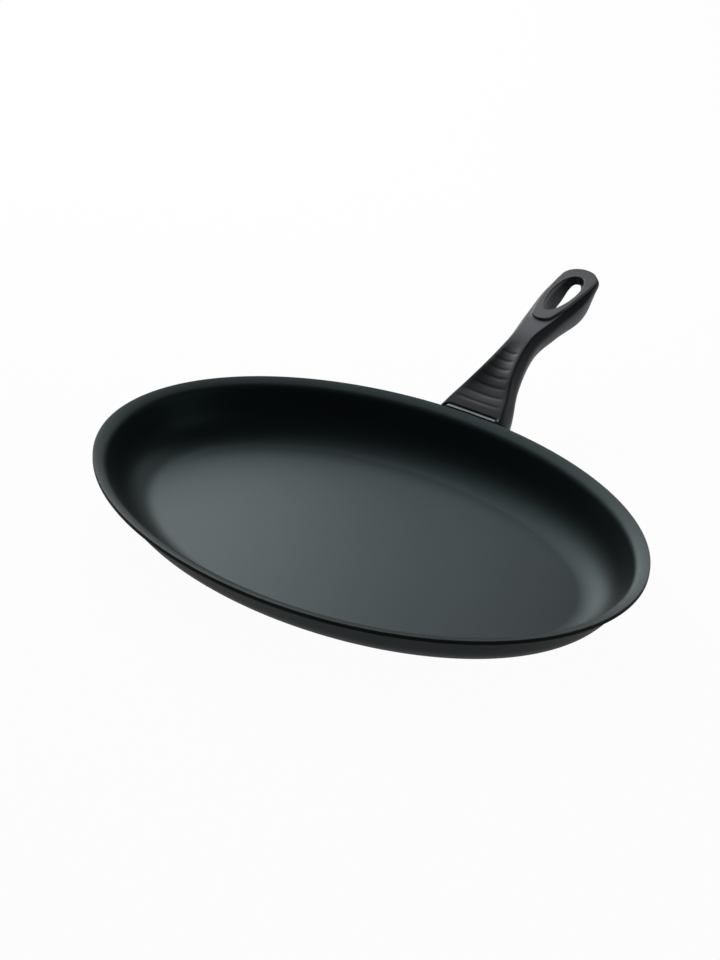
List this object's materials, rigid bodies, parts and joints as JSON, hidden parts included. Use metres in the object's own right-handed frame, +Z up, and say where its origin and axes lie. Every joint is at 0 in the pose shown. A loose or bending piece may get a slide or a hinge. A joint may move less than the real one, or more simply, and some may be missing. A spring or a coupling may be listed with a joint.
{
  "type": "fish pan",
  "caption": "Oval non-stick fish pan with a flat floor, flared walls, turned-out lip and a moulded handle with a ribbed thumb dish and hanging eye on one long side.",
  "frame": {"origin": "middle of the base's underside, on the surface that the pan stands on", "axes": "+Z up out of the pan, +Y towards the handle, X along the oval's length"},
  "size_m": [0.4, 0.4502, 0.0837],
  "materials": {
    "pan_coat": "pressed aluminium under a satin charcoal non-stick coat",
    "bare_aluminium": "bare, as cast",
    "guard_coat": "sheet aluminium under a dark grey satin coat",
    "grip_moulding": "moulded phenolic, fine satin",
    "fastener_steel": "zinc plated"
  },
  "bodies": {
    "root": {"pan_body": "pan_coat", "handle_bracket": "bare_aluminium", "flame_guard": "guard_coat", "handle_grip": "grip_moulding", "grip_screw": "fastener_steel", "lock_washer": "fastener_steel"}
  },
  "joints": []
}
